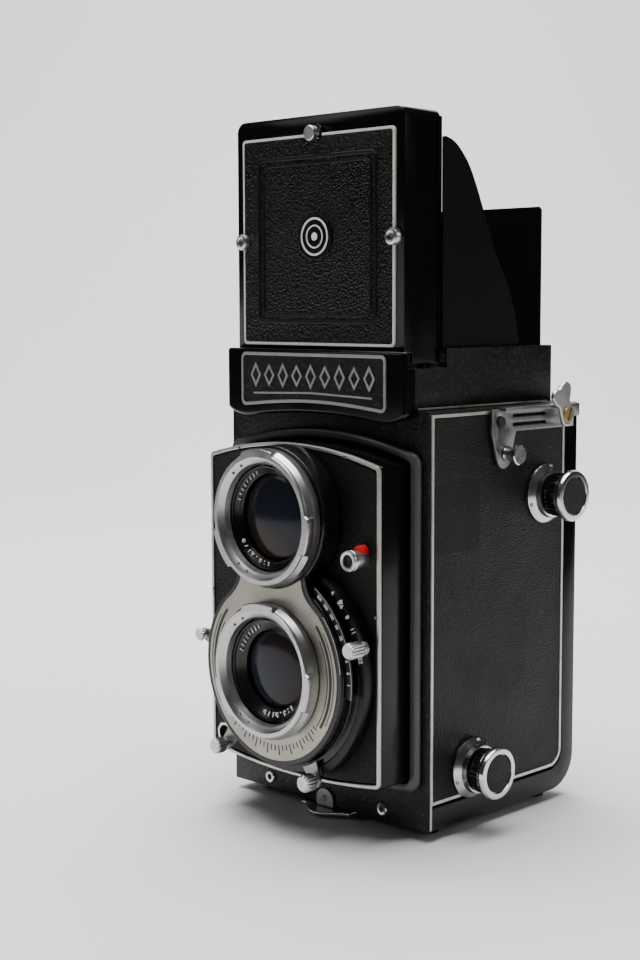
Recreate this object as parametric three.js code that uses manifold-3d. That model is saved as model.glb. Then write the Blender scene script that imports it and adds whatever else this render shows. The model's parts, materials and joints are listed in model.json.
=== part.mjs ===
// Twin lens reflex camera for roll film, with its waist-level hood raised.
// Millimetres, +Z up, the lenses look along -Y. Inside the camera group y = 0 is the body's front
// face and z = 0 is the body's underside; the group then moves so that the resting plane is z = 0.
import * as THREE from 'three';
import { mergeVertices } from 'three/addons/utils/BufferGeometryUtils.js';
import Module from 'manifold-3d';

const wasm = await Module();
wasm.setup();

// ---- driving dimensions ----
const GAP = 0.3;              // clearance between neighbouring pieces
const FOOT_H = 3;             // resting plane to the body's underside
const FRAME_Y = 20.2;         // body's front face to the middle of the whole depth
const BODY = { hw: 38, depth: 65.5, height: 113.4, wall: 1.6, split: 59.2, sill: 6.9 };
const DOOR = { wall: 1.3, rim: 1.3, corner: 10 };
const LENS_Z = { view: 84.25, take: 42.25 };
const STANDARD = { hw: 33, front: -12.5, back: -0.6, low: 13.8, high: 99.6, arch: 4.6, dip: 2.6, wall: 1.2 };
const RING = { outer: 19, inner: 15.4, front: -25.8 };
const SHUTTER = { r: 29, shoulder: -17, rimR: 26.6, front: -20.6, back: -13.6, plateR: 25 };
const PLATE = { front: -21.4, back: -20.9, neck: 12 };
const LEVER = { y: -17.9, thick: 0.7, inner: 27.2, outer: 32.4, post: 33.4, half: 10 };
const KNOB_UP = { y: 49.2, z: 88.1, end: 49.5 };
const KNOB_LOW = { y: 17.6, z: 14.9, end: 48.6 };
const PULL_R = 7.2;
const PIN_R = 2.4;
const PIN_END = 28.5;
const SPOOL = { flange: 12.4, core: 5.6, half: 32.6 };
const FOCUS = { y: 24, z: 52, r: 13.5, end: -49.5 };
const ADVANCE = { r: 10.5, end: -49.3 };
const HOOD = { hw: 33.8, inner: 33.1, front: -0.6, back: 58.4, low: 113.7, high: 129.8 };
const HOOD_STEP = 124.6;
const HOOD_RECESS = 126.3;
const LID = { hw: 32, front: -2.9, rear: 11.4, low: 126, skinLow: 128.9, high: 192.8, wall: 0.9, skin: 1.1 };
const PIVOT = { y: 7.6, z: 134.1, pin: 0.85, bore: 1.15, arm0: 28.6, arm1: 30.6, half: 1.4 };
const PEG_Z = 187.7;
const FINDER = { hw: 22.2, low: 137, high: 181.4, clear: 0.4 };
const LOUPE = { hw: 10.5, low: 161.5, high: 180, lens: 7.6 };
const FLAP = { x: 32.6, thick: 0.5, right: 128.9, left: 127.9 };
const BACK_FLAP = { hw: 30.7, y: 57.2, low: 126.95, high: 169.2 };
const FLAP_SIDE = [[11.8, 186], [21.5, 180], [27.5, 170.2], [33.7, 159.3], [40.1, 148.4], [43.4, 139]];
const FLAP_REAR_Y = 44.4;

// ---- materials ----
const finish = (color, roughness, metalness) => ({ color, roughness, metalness });
const LEATHER = finish(0x141414, 0.75, 0);
const ENAMEL = finish(0x0c0c0d, 0.25, 0.1);
const WRINKLE = finish(0x161616, 0.6, 0.1);
const SATIN = finish(0xb9b4a8, 0.35, 0.95);
const CHROME = finish(0xd2d2d2, 0.18, 1);
const NICKEL = finish(0xa59c8c, 0.4, 0.9);
const GREY = finish(0x4a4a4a, 0.4, 0.6);
const BLACK = finish(0x0a0a0a, 0.5, 0);
const GLASS = finish(0x22303a, 0.05, 0);

const camera = new THREE.Group();
camera.position.set(0, -FRAME_Y, FOOT_H);

// ---- solids ----
function toSolid(geometry) {
  const bare = geometry.clone();
  bare.deleteAttribute('normal');
  bare.deleteAttribute('uv');
  const merged = mergeVertices(bare, 1e-4);
  return new wasm.Manifold(new wasm.Mesh({
    numProp: 3,
    vertProperties: Float32Array.from(merged.attributes.position.array),
    triVerts: Uint32Array.from(merged.index.array),
  }));
}

function toGeometry(solid) {
  const mesh = solid.getMesh();
  const geometry = new THREE.BufferGeometry();
  geometry.setAttribute('position', new THREE.BufferAttribute(mesh.vertProperties, 3));
  geometry.setIndex(new THREE.BufferAttribute(mesh.triVerts, 1));
  geometry.computeVertexNormals();
  return geometry;
}

function cut(base, ...tools) {
  return toGeometry(tools.reduce((solid, tool) => solid.subtract(toSolid(tool)), toSolid(base)));
}

function join(base, ...others) {
  return toGeometry(others.reduce((solid, other) => solid.add(toSolid(other)), toSolid(base)));
}

// A block between two corners.
function block(x0, x1, y0, y1, z0, z1) {
  const geometry = new THREE.BoxGeometry(x1 - x0, y1 - y0, z1 - z0);
  return geometry.translate((x0 + x1) / 2, (y0 + y1) / 2, (z0 + z1) / 2);
}

// A turned piece: [radius, distance] pairs round a closed section or from the axis to the axis.
function turned(points, segments, axis, at) {
  const profile = points.map(([r, h]) => new THREE.Vector2(r, h));
  const closed = points[0][0] > 0 ? [...profile, profile[0]] : profile;
  const geometry = new THREE.LatheGeometry(closed, segments);
  if (axis === 'x') geometry.rotateZ(-Math.PI / 2);
  if (axis === 'z') geometry.rotateX(Math.PI / 2);
  geometry.translate(...at);
  const solid = toSolid(geometry);
  return solid.volume() > 0 ? toGeometry(solid) : flipped(geometry);
}

function flipped(geometry) {
  const index = Array.from(geometry.index.array);
  for (let i = 0; i < index.length; i += 3) {
    [index[i], index[i + 1]] = [index[i + 1], index[i]];
  }
  geometry.setIndex(index);
  return toGeometry(toSolid(geometry));
}

// A block and its mirror image across x = 0, for x0 and x1 above zero.
function pair(x0, x1, y0, y1, z0, z1) {
  return [block(x0, x1, y0, y1, z0, z1), block(-x1, -x0, y0, y1, z0, z1)];
}

// A plain disc or rod between two distances along an axis.
function rod(r, from, to, segments, axis, at) {
  return turned([[0, from], [r, from], [r, to], [0, to]], segments, axis, at);
}

// A ring with a bore between two distances along an axis.
const tube = (inner, outer, from, to, segments, axis, at) =>
  turned([[inner, from], [outer, from], [outer, to], [inner, to]], segments, axis, at);

function outline(points) {
  return new THREE.Shape(points.map(([u, v]) => new THREE.Vector2(u, v)));
}

// An outline in the YZ plane, given as [y, z], between two x values.
function slabX(shape, x0, x1, curveSegments = 6) {
  const geometry = new THREE.ExtrudeGeometry(shape, { depth: x1 - x0, bevelEnabled: false, curveSegments });
  geometry.applyMatrix4(new THREE.Matrix4().set(0, 0, 1, x0, 1, 0, 0, 0, 0, 1, 0, 0, 0, 0, 0, 1));
  return geometry;
}

// An outline in the XZ plane, given as [x, z], between two y values.
function slabY(shape, y0, y1, curveSegments = 6) {
  const geometry = new THREE.ExtrudeGeometry(shape, { depth: y1 - y0, bevelEnabled: false, curveSegments });
  geometry.rotateX(Math.PI / 2);
  return geometry.translate(0, y1, 0);
}

// An outline in the XY plane, given as [x, y], between two heights.
function slabZ(shape, z0, z1, curveSegments = 6) {
  const geometry = new THREE.ExtrudeGeometry(shape, { depth: z1 - z0, bevelEnabled: false, curveSegments });
  return geometry.translate(0, 0, z0);
}

function add(name, geometry, look) {
  const mesh = new THREE.Mesh(geometry, new THREE.MeshStandardMaterial(look));
  mesh.name = name;
  camera.add(mesh);
}

function roundedRect(u0, u1, v0, v1, r) {
  const shape = new THREE.Shape();
  shape.moveTo(u0 + r, v0);
  shape.lineTo(u1 - r, v0);
  shape.absarc(u1 - r, v0 + r, r, -Math.PI / 2, 0, false);
  shape.lineTo(u1, v1 - r);
  shape.absarc(u1 - r, v1 - r, r, 0, Math.PI / 2, false);
  shape.lineTo(u0 + r, v1);
  shape.absarc(u0 + r, v1 - r, r, Math.PI / 2, Math.PI, false);
  shape.lineTo(u0, v0 + r);
  shape.absarc(u0 + r, v0 + r, r, Math.PI, 1.5 * Math.PI, false);
  return shape;
}

// The front standard's outline: straight sides, top and bottom edges that bow outwards.
function bowedRect(hw, low, high, arch, inset = 0) {
  const w = hw - inset;
  const shape = new THREE.Shape();
  const bottom = low + inset;
  const top = high - inset;
  shape.moveTo(-w, bottom);
  shape.quadraticCurveTo(0, bottom - 2 * STANDARD.dip, w, bottom);
  shape.lineTo(w, top);
  shape.quadraticCurveTo(0, top + 2 * arch, -w, top);
  shape.closePath();
  return shape;
}

// ---- body ----
// The side outline of body plus door, rounded at the lower rear corner.
function sideOutline(front, rear, low, high, corner) {
  const shape = new THREE.Shape();
  shape.moveTo(front, low);
  shape.lineTo(rear - corner, low);
  shape.absarc(rear - corner, low + corner, corner, -Math.PI / 2, 0, false);
  shape.lineTo(rear, high);
  shape.lineTo(front, high);
  shape.closePath();
  return shape;
}

function bodyCasing() {
  const shell = join(
    slabX(sideOutline(0, BODY.split, BODY.sill, BODY.height, 5), -BODY.hw, BODY.hw),
    block(-BODY.hw, BODY.hw, 0, 1.8, 0, 20),
  );
  const inside = BODY.hw - BODY.wall;
  return cut(
    shell,
    block(-inside, inside, 1.8, 70, -1, BODY.height - 1.8),
    block(-29, 29, 4, 54, 100, 120),
    slabY(bowedRect(STANDARD.hw - 0.6, STANDARD.low, STANDARD.high, 4, 0), -1, 3),
    rod(3.4, 30, 45, 12, 'x', [0, KNOB_UP.y, KNOB_UP.z]),
    rod(3.4, 30, 45, 12, 'x', [0, KNOB_LOW.y, KNOB_LOW.z]),
    rod(3.4, -45, -30, 12, 'x', [0, KNOB_UP.y, KNOB_UP.z]),
    rod(3.4, -45, -30, 12, 'x', [0, FOCUS.y, FOCUS.z]),
  );
}

function backDoor() {
  const hw = BODY.hw + 0.2;
  const y0 = 2.2;
  const outer = slabX(sideOutline(y0, BODY.depth, 0, BODY.height, DOOR.corner), -hw, hw);
  const inner = slabX(
    sideOutline(y0 - 1, BODY.depth - DOOR.wall, DOOR.wall, BODY.height + 1, DOOR.corner - DOOR.wall),
    -hw + DOOR.rim, hw - DOOR.rim,
  );
  const window = slabX(
    sideOutline(y0 - 1, BODY.split + 0.4, BODY.sill - 0.4, BODY.height + 1, 5.4), -hw - 1, hw + 1,
  );
  return cut(outer, inner, window);
}

function sideLeather(x0, x1, spots, r) {
  const panel = slabX(sideOutline(1.8, BODY.split - 1.6, BODY.sill + 1.7, 111.5, 3.8), x0, x1);
  const holes = spots.map(({ y, z }) => rod(r, x0 - 1, x1 + 1, 20, 'x', [0, y, z]));
  return cut(panel, ...holes);
}

function hoodBase() {
  const { hw, inner, front, back, low, high } = HOOD;
  const shell = cut(
    block(-hw, hw, front, back, low, high),
    block(-31, 31, 1, back - 1.6, low - 1, high + 1),
    block(-inner, inner, 12.2, back - 0.7, HOOD_RECESS, high + 1),
    block(-hw - 1, hw + 1, front - 1, 12.2, HOOD_STEP, high + 1),
  );
  const { y, z, bore, arm0, arm1, half } = PIVOT;
  const arms = pair(arm0, arm1, y - half, y + half, 118, z + 1.5);
  const feet = pair(arm0, 32, y - half, y + half, 118, 121);
  return cut(join(shell, ...arms, ...feet), rod(bore, -40, 40, 10, 'x', [0, y, z]));
}

function namePlate() {
  const hw = 34.4;
  const top = 129.3;
  const plate = new THREE.Shape();
  plate.moveTo(-hw, 112.2);
  plate.quadraticCurveTo(-hw + 4, 109.6, -hw + 10, 110.2);
  plate.quadraticCurveTo(0, 113.4, hw - 10, 110.2);
  plate.quadraticCurveTo(hw - 4, 109.6, hw, 112.2);
  plate.lineTo(hw, top);
  plate.lineTo(-hw, top);
  plate.closePath();
  return cut(slabY(plate, -5.4, -0.9), block(-40, 40, -3.5, 0, 124, top + 1));
}

function filmGate() {
  const frame = block(-33, 33, 54, 55.6, 4, 72);
  return cut(frame, block(-28, 28, 50, 60, LENS_Z.take - 28, LENS_Z.take + 28));
}

function reflexMirror() {
  const mirror = block(-26, 26, -30, 30, -0.75, 0.75);
  mirror.rotateX(Math.PI / 4);
  return mirror.translate(0, 31, LENS_Z.view + 3.5);
}

function accessoryShoe() {
  const plate = new THREE.Shape();
  plate.moveTo(24, 113);
  plate.lineTo(24, 106.5);
  plate.lineTo(26.6, 98.6);
  plate.absarc(29.4, 99.4, 2.8, Math.PI * 1.1, Math.PI * 1.95, false);
  plate.lineTo(34.5, 106.7);
  plate.lineTo(61, 106.7);
  plate.lineTo(61, 113);
  plate.closePath();
  const base = slabX(plate, 39.1, 40);
  const rail = block(39.1, 42.4, 27, 60.6, 112.4, 113.4);
  const stop = block(39.1, 42.4, 56.6, 60.6, 109.8, 113);
  const slots = [111, 108.6].map((z) => block(38, 41, 33, 48, z - 0.5, z + 0.5));
  return cut(join(base, rail, stop), ...slots, rod(1.6, 38, 41, 12, 'x', [0, 27.8, 109.5]));
}

function strapPeg(side) {
  const profile = [[0, 39.9], [1.7, 39.9], [1.7, 42.6], [2.8, 43], [2.8, 44.2], [0, 44.2]];
  return turned(profile, 16, 'x', [0, 30.5, 100.6]).scale(side, 1, 1);
}

function shoePawl() {
  const profile = [
    [44, 120], [49, 118.6], [53, 120], [54.6, 113], [55, 110], [52.5, 107.6], [50.2, 109.5],
    [47.5, 114], [44, 116],
  ];
  return slabX(outline(profile.reverse()), 43.4, 44.6);
}

// A cover plate round a spool knob.
function knobFlange(at) {
  const profile = [[4.6, 39], [8.4, 39], [8.4, 39.8], [7.4, 40.7], [6.6, 41.1], [6.4, 42.5], [4.6, 42.5]];
  return turned(profile, 28, 'x', [0, at.y, at.z]);
}

// A spool knob: a ribbed barrel outside, its pin reaching the spool inside.
function pullKnob(at) {
  const profile = [
    [0, PIN_END], [PIN_R, PIN_END], [PIN_R, 42.9], [5.9, 42.9], [5.9, at.end - 2.6],
    [PULL_R, at.end - 2.2], [PULL_R, at.end - 0.5], [PULL_R - 0.6, at.end], [0, at.end],
  ];
  return turned(profile, 28, 'x', [0, at.y, at.z]);
}

function spool(at) {
  const { flange, core, half } = SPOOL;
  const profile = [
    [2.7, -half], [flange, -half], [flange, 0.8 - half], [core, 0.8 - half],
    [core, half - 0.8], [flange, half - 0.8], [flange, half], [2.7, half],
  ];
  return turned(profile, 24, 'x', [-0.4, at.y, at.z]);
}

// A knob on the left side: a shaft through the wall and a plain drum outside.
function drumKnob(at, r, end, shaftR, shaftEnd, neck) {
  const profile = [
    [0, end], [r - 0.75, end], [r, end + 0.75], [r, neck], [shaftR, neck], [shaftR, shaftEnd], [0, shaftEnd],
  ];
  return turned(profile, 32, 'x', [0, at.y, at.z]);
}

// The latch plate under the body; its curved lip reaches out below the front edge.
function backLatch() {
  const plate = new THREE.Shape();
  plate.moveTo(-8, 22);
  plate.lineTo(8, 22);
  plate.lineTo(9.5, -0.6);
  plate.quadraticCurveTo(6, -2.2, 0, -5.6);
  plate.quadraticCurveTo(-6, -2.2, -9.5, -0.6);
  plate.closePath();
  return slabZ(plate, -1.9, -0.8);
}

// ---- front standard ----
function frontStandard() {
  const { hw, front, back, low, high, arch, wall } = STANDARD;
  const shell = join(
    slabY(bowedRect(hw, low, high, arch), front, back),
    slabY(bowedRect(hw, low, high, 3.6, 1), back - 1, 9),
  );
  const hollow = slabY(bowedRect(hw, low, high, 3.6, 1 + wall), front + 1.6, 20);
  const spoolRoom = block(-40, 40, 4.8, 20, 0, 30);
  return cut(shell, hollow, spoolRoom, ...lensBores(13));
}

function lensBores(r) {
  return [LENS_Z.view, LENS_Z.take].map((z) => rod(r, -30, 10, 32, 'y', [0, 0, z]));
}

function frontLedge() {
  const { hw, low, high } = STANDARD;
  return cut(
    slabY(bowedRect(36.4, 11.4, 101.8, 5.6), -2.6, -GAP, 8),
    slabY(bowedRect(hw + 0.5, low - 0.5, high + 0.5, 4.8), -4, 1, 8),
  );
}

function standardLeather() {
  const { hw, front, low, high, arch } = STANDARD;
  const sheet = slabY(bowedRect(hw, low, high, arch, 1.8), front - 0.8, front - GAP, 8);
  return cut(sheet, ...lensBores(13));
}

function shutterHousing() {
  const { r, rimR, shoulder, front, back } = SHUTTER;
  const disc = rod(r, shoulder, back, 48, 'y', [0, 0, LENS_Z.take]);
  const rim = rod(rimR, front, back, 48, 'y', [0, 0, LENS_Z.take]);
  const upper = rod(19.6, front, back, 40, 'y', [0, 0, LENS_Z.view]);
  const neck = block(-PLATE.neck - 1, PLATE.neck + 1, front, back, 62, 72);
  return cut(join(disc, rim, upper, neck), ...lensBores(13));
}

function faceplate() {
  const { front, back, neck } = PLATE;
  const disc = rod(SHUTTER.plateR, front, back, 48, 'y', [0, 0, LENS_Z.take]);
  const tie = block(-neck, neck, front, back, 60, 70);
  const bores = [
    rod(19.4, front - 1, back + 1, 40, 'y', [0, 0, LENS_Z.view]),
    rod(16.4, front - 1, back + 1, 40, 'y', [0, 0, LENS_Z.take]),
  ];
  return cut(join(disc, tie), ...bores);
}

// A bayonet ring: stepped outside, dished inside, three notches in its rim.
function bayonetRing(z, depth) {
  const { outer, inner, front } = RING;
  const profile = [
    [inner - 0.6, front + depth], [outer - 0.4, front + depth], [outer - 0.4, front + 2.6],
    [outer, front + 2.2], [outer, front + 0.4], [outer - 0.4, front], [inner + 1, front],
    [inner, front + 0.8],
  ];
  const ring = turned(profile, 48, 'y', [0, 0, z]);
  const reach = outer + 1.2;
  const notches = [40, 160, 280].map((degrees) => {
    const a = THREE.MathUtils.degToRad(degrees);
    return rod(2.4, front - 1, front + 1.3, 12, 'y', [reach * Math.cos(a), 0, z + reach * Math.sin(a)]);
  });
  return cut(ring, ...notches);
}

// A lens: an outer tube that carries a dished mount.
function lensBarrel(z) {
  const profile = [[12.4, -6], [12.4, -20.9], [14.2, -20.9], [14.2, -22.6], [10.9, -20.6], [10.9, -6]];
  return turned(profile, 40, 'y', [0, 0, z]);
}

function lensGlass(z) {
  const dome = [[10.5, -17.2], [10.5, -18.4], [8.2, -19.3], [5.6, -19.9], [2.8, -20.25], [0, -20.4]];
  return turned([[0, -17.2], ...dome], 32, 'y', [0, 0, z]);
}

// A diaphragm disc behind the taking lens, stopped down to a small opening.
function shutterBlades() {
  return tube(4.2, 10.4, -13.4, -12.9, 16, 'y', [0, 0, LENS_Z.take]);
}

// A setting lever: a curved arm in the slit round the shutter, with a knurled post at its end.
function lever(degrees, postFront, postR, post = LEVER.post, half = LEVER.half) {
  const { y, thick, inner, outer } = LEVER;
  const mid = THREE.MathUtils.degToRad(degrees);
  const reach = THREE.MathUtils.degToRad(half);
  const arm = new THREE.Shape();
  arm.absarc(0, LENS_Z.take, outer, mid - reach, mid + reach, false);
  arm.absarc(0, LENS_Z.take, inner, mid + reach, mid - reach, true);
  arm.closePath();
  const centre = [post * Math.cos(mid), 0, LENS_Z.take + post * Math.sin(mid)];
  return join(
    slabY(arm, y - thick, y, 8),
    rod(postR, postFront, y + 0.1, 14, 'y', centre),
  );
}

// A threaded socket standing on the standard's face, its mouth towards the front.
function socket(x, z, r, front) {
  const mouth = r * 0.55;
  const neck = r * 0.85;
  const profile = [
    [0, -13.7], [neck, -13.7], [neck, front + 2], [r, front + 1.7], [r, front], [mouth, front],
    [mouth, -15], [0, -15],
  ];
  return turned(profile, 18, 'y', [x, 0, z]);
}

// ---- hood ----
function doorOpening() {
  const { hw, low, high, clear } = FINDER;
  return block(-hw - clear, hw + clear, -8, 5, low - clear, high + clear);
}

function hoodLid() {
  const { hw, front, rear, low, skinLow, high, wall, skin } = LID;
  const tray = slabY(roundedRect(-hw, hw, low - 5, high, 3), front, rear);
  const inner = hw - wall;
  const hollow = slabY(roundedRect(-inner, inner, low - 8, high - wall, 2.4), front + skin, rear + 1);
  const belowSides = block(-40, 40, -10, 20, low - 9, low);
  const belowSkin = block(-40, 40, -10, 0.2, low - 9, skinLow);
  const pegHole = rod(1.4, -10, 10, 12, 'y', [0, 0, PEG_Z]);
  return cut(tray, hollow, belowSides, belowSkin, doorOpening(), pegHole);
}

function lidLeather() {
  const sheet = slabY(roundedRect(-28.6, 28.6, 131, 187, 0.6), LID.front - 0.8, LID.front - GAP);
  return cut(sheet, doorOpening(), rod(2.6, -8, 5, 16, 'y', [0, 0, PEG_Z]));
}

function finderDoor() {
  const { hw, low, high } = FINDER;
  return slabY(roundedRect(-hw, hw, low, high, 1.5), LID.front - 0.6, LID.front + 1);
}

function loupeFrame() {
  const { hw, low, high, lens } = LOUPE;
  const frame = slabY(roundedRect(-hw, hw, low, high, 2), LID.front + 1.35, LID.front + 2.45);
  return cut(frame, rod(lens + GAP, -5, 5, 28, 'y', [0, 0, (low + high) / 2]));
}

function loupeLens() {
  const { low, high, lens } = LOUPE;
  return rod(lens, LID.front + 1.5, LID.front + 2.3, 24, 'y', [0, 0, (low + high) / 2]);
}

// The catch peg at the top of the lid: a head outside, a pin through the skin.
function lidPeg() {
  const profile = [[0, -3.3], [2.1, -3.3], [2.3, -2.9], [2.3, -1.5], [1.1, -1.3], [1.1, 1.9], [0, 1.9]];
  return turned(profile, 16, 'y', [0, LID.front, PEG_Z]);
}

function sideFlap(side, base) {
  const low = base - FLAP.thick / 2;
  const profile = [[FLAP_SIDE[0][0], low], ...FLAP_SIDE, [FLAP_REAR_Y, low]];
  const x0 = side * FLAP.x - FLAP.thick / 2;
  return slabX(outline(profile.reverse()), x0, x0 + FLAP.thick);
}

function backFlap() {
  const { hw, y, low, high } = BACK_FLAP;
  const half = FLAP.thick / 2;
  return block(-hw, hw, y - half, y + half, low - half, high);
}

// ---- assembly ----
add('body_casing', bodyCasing(), LEATHER);
add('front_ledge', frontLedge(), GREY);
add('hood_base', hoodBase(), WRINKLE);
add('name_plate', namePlate(), ENAMEL);
add('focusing_screen', block(-30.6, 30.6, 1.4, 56.4, 114.2, 115.8), GLASS);
add('reflex_mirror', reflexMirror(), CHROME);
add('film_gate', filmGate(), BLACK);
add('roller_upper', rod(2, -32, 32, 12, 'x', [0, 57.4, 74.5]), CHROME);
add('roller_lower', rod(2, -32, 32, 12, 'x', [0, 51, 4.8]), CHROME);
add('side_leather_right', sideLeather(38.3, 38.7, [KNOB_UP, KNOB_LOW], 8.8), LEATHER);
add('side_leather_left', sideLeather(-38.7, -38.3, [KNOB_UP, FOCUS], 4), LEATHER);
add('accessory_shoe', accessoryShoe(), SATIN);
add('strap_peg_right', strapPeg(1).translate(0.5, 0, 0), CHROME);
add('strap_peg_left', flipped(strapPeg(-1)), CHROME);
add('shoe_pawl', shoePawl(), SATIN);
add('knob_flange_upper', knobFlange(KNOB_UP), CHROME);
add('knob_flange_lower', knobFlange(KNOB_LOW), CHROME);
add('spool_knob_upper', pullKnob(KNOB_UP), CHROME);
add('spool_knob_lower', pullKnob(KNOB_LOW), CHROME);
add('take_up_spool', spool(KNOB_UP), BLACK);
add('supply_spool', spool(KNOB_LOW), BLACK);

add('front_standard', frontStandard(), ENAMEL);
add('standard_leather', standardLeather(), LEATHER);
add('shutter_housing', shutterHousing(), BLACK);
add('shutter_faceplate', faceplate(), SATIN);
add('bayonet_ring_view', bayonetRing(LENS_Z.view, 4.9), CHROME);
add('bayonet_ring_take', bayonetRing(LENS_Z.take, 4.1), CHROME);
add('lens_barrel_view', lensBarrel(LENS_Z.view), BLACK);
add('lens_barrel_take', lensBarrel(LENS_Z.take), BLACK);
add('lens_glass_view', lensGlass(LENS_Z.view), GLASS);
add('lens_glass_take', lensGlass(LENS_Z.take), GLASS);
add('shutter_blades', shutterBlades(), BLACK);
add('speed_lever', lever(18, -24.4, 2.1), CHROME);
add('sync_lever', lever(170, -20.6, 1.8, 31.2), CHROME);
add('aperture_lever', lever(229, -23, 2.1, LEVER.post, 7), CHROME);
add('release_lever', lever(296, -23.4, 2.3, 31.9), CHROME);
add('flash_socket', socket(27.2, 75.1, 2.9, -19.6), CHROME);
add('release_socket', socket(-23.6, 19.6, 3.2, -17.4), CHROME);

add('advance_knob', drumKnob(KNOB_UP, ADVANCE.r, ADVANCE.end, PIN_R, -PIN_END, -40.1), CHROME);
add('focus_knob', drumKnob(FOCUS, FOCUS.r, FOCUS.end, 2.8, -34.5, -39.3), CHROME);
add('counter_dial', rod(3.6, -39.5, -38.95, 20, 'x', [0, 32, 102]), BLACK);

add('back_door', backDoor(), ENAMEL);
add('back_leather', slabY(roundedRect(-34.5, 34.5, 12.5, 109, 1.5), 65.8, 66.2), LEATHER);
add('pressure_plate', slabY(roundedRect(-31, 31, 11, 74, 2), 60.4, 61.4), BLACK);
const FEET = {
  foot_front_left: [-31, 9],
  foot_front_right: [31, 9],
  foot_rear_left: [-31, 56],
  foot_rear_right: [31, 56],
};
for (const [name, [x, y]] of Object.entries(FEET)) {
  add(name, rod(3, -FOOT_H, -GAP, 14, 'z', [x, y, 0]), BLACK);
}
add('tripod_socket', tube(3.3, 8, -2.7, -GAP, 28, 'z', [0, 36, 0]), CHROME);
add('back_latch', backLatch(), CHROME);

add('hood_lid', hoodLid(), ENAMEL);
add('lid_leather', lidLeather(), LEATHER);
add('lid_hinge_pin', rod(PIVOT.pin, -30.8, 30.8, 10, 'x', [0, PIVOT.y, PIVOT.z]), CHROME);
add('lid_peg', lidPeg(), CHROME);
add('finder_door', finderDoor(), LEATHER);
add('loupe_frame', loupeFrame(), CHROME);
add('loupe_lens', loupeLens(), GLASS);
add('flap_right', sideFlap(1, FLAP.right), ENAMEL);
add('flap_left', sideFlap(-1, FLAP.left), ENAMEL);
add('flap_back', backFlap(), ENAMEL);

export default camera;
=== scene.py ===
"""Twin lens reflex camera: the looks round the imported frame. Distances in the helpers are millimetres
in the camera's own layout, where y = 0 is the body's front face and z = 0 the body's underside."""
import json
import math

import bmesh
import bpy
from mathutils import Matrix, Vector

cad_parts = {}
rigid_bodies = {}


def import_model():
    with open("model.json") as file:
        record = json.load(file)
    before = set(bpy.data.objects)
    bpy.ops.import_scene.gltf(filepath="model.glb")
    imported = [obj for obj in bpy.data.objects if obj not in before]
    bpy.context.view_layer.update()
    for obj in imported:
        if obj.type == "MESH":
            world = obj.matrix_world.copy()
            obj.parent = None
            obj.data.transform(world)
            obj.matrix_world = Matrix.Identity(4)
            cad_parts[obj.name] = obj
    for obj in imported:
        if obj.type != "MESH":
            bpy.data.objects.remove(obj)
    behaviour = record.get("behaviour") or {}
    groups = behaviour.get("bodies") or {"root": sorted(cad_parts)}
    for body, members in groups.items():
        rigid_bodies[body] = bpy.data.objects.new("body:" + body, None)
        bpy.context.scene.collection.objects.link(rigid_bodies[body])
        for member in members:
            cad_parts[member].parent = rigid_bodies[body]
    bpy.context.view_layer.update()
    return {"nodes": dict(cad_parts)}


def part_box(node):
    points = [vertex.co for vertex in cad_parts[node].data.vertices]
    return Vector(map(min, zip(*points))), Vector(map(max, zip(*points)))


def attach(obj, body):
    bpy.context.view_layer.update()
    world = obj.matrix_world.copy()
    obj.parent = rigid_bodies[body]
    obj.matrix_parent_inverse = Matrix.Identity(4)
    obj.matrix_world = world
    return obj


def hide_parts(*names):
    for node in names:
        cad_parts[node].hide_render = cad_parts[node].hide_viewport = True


for spare in list(bpy.data.objects):
    bpy.data.objects.remove(spare)
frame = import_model()

# ---- layout, in millimetres ----
FRAME_Y = 20.2
FOOT_H = 3.0
MM = 0.001
VIEW_Z = 84.25
TAKE_Z = 42.25
LID_FRONT = -2.9
KNOB_UP = (49.2, 88.1)
KNOB_LOW = (17.6, 14.9)
FOCUS = (24.0, 52.0)
DIAL = (32.0, 102.0)


def place(x, y, z):
    """A point of the camera's layout in the frame's own metres."""
    return Vector((x, y - FRAME_Y, z + FOOT_H)) * MM


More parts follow.
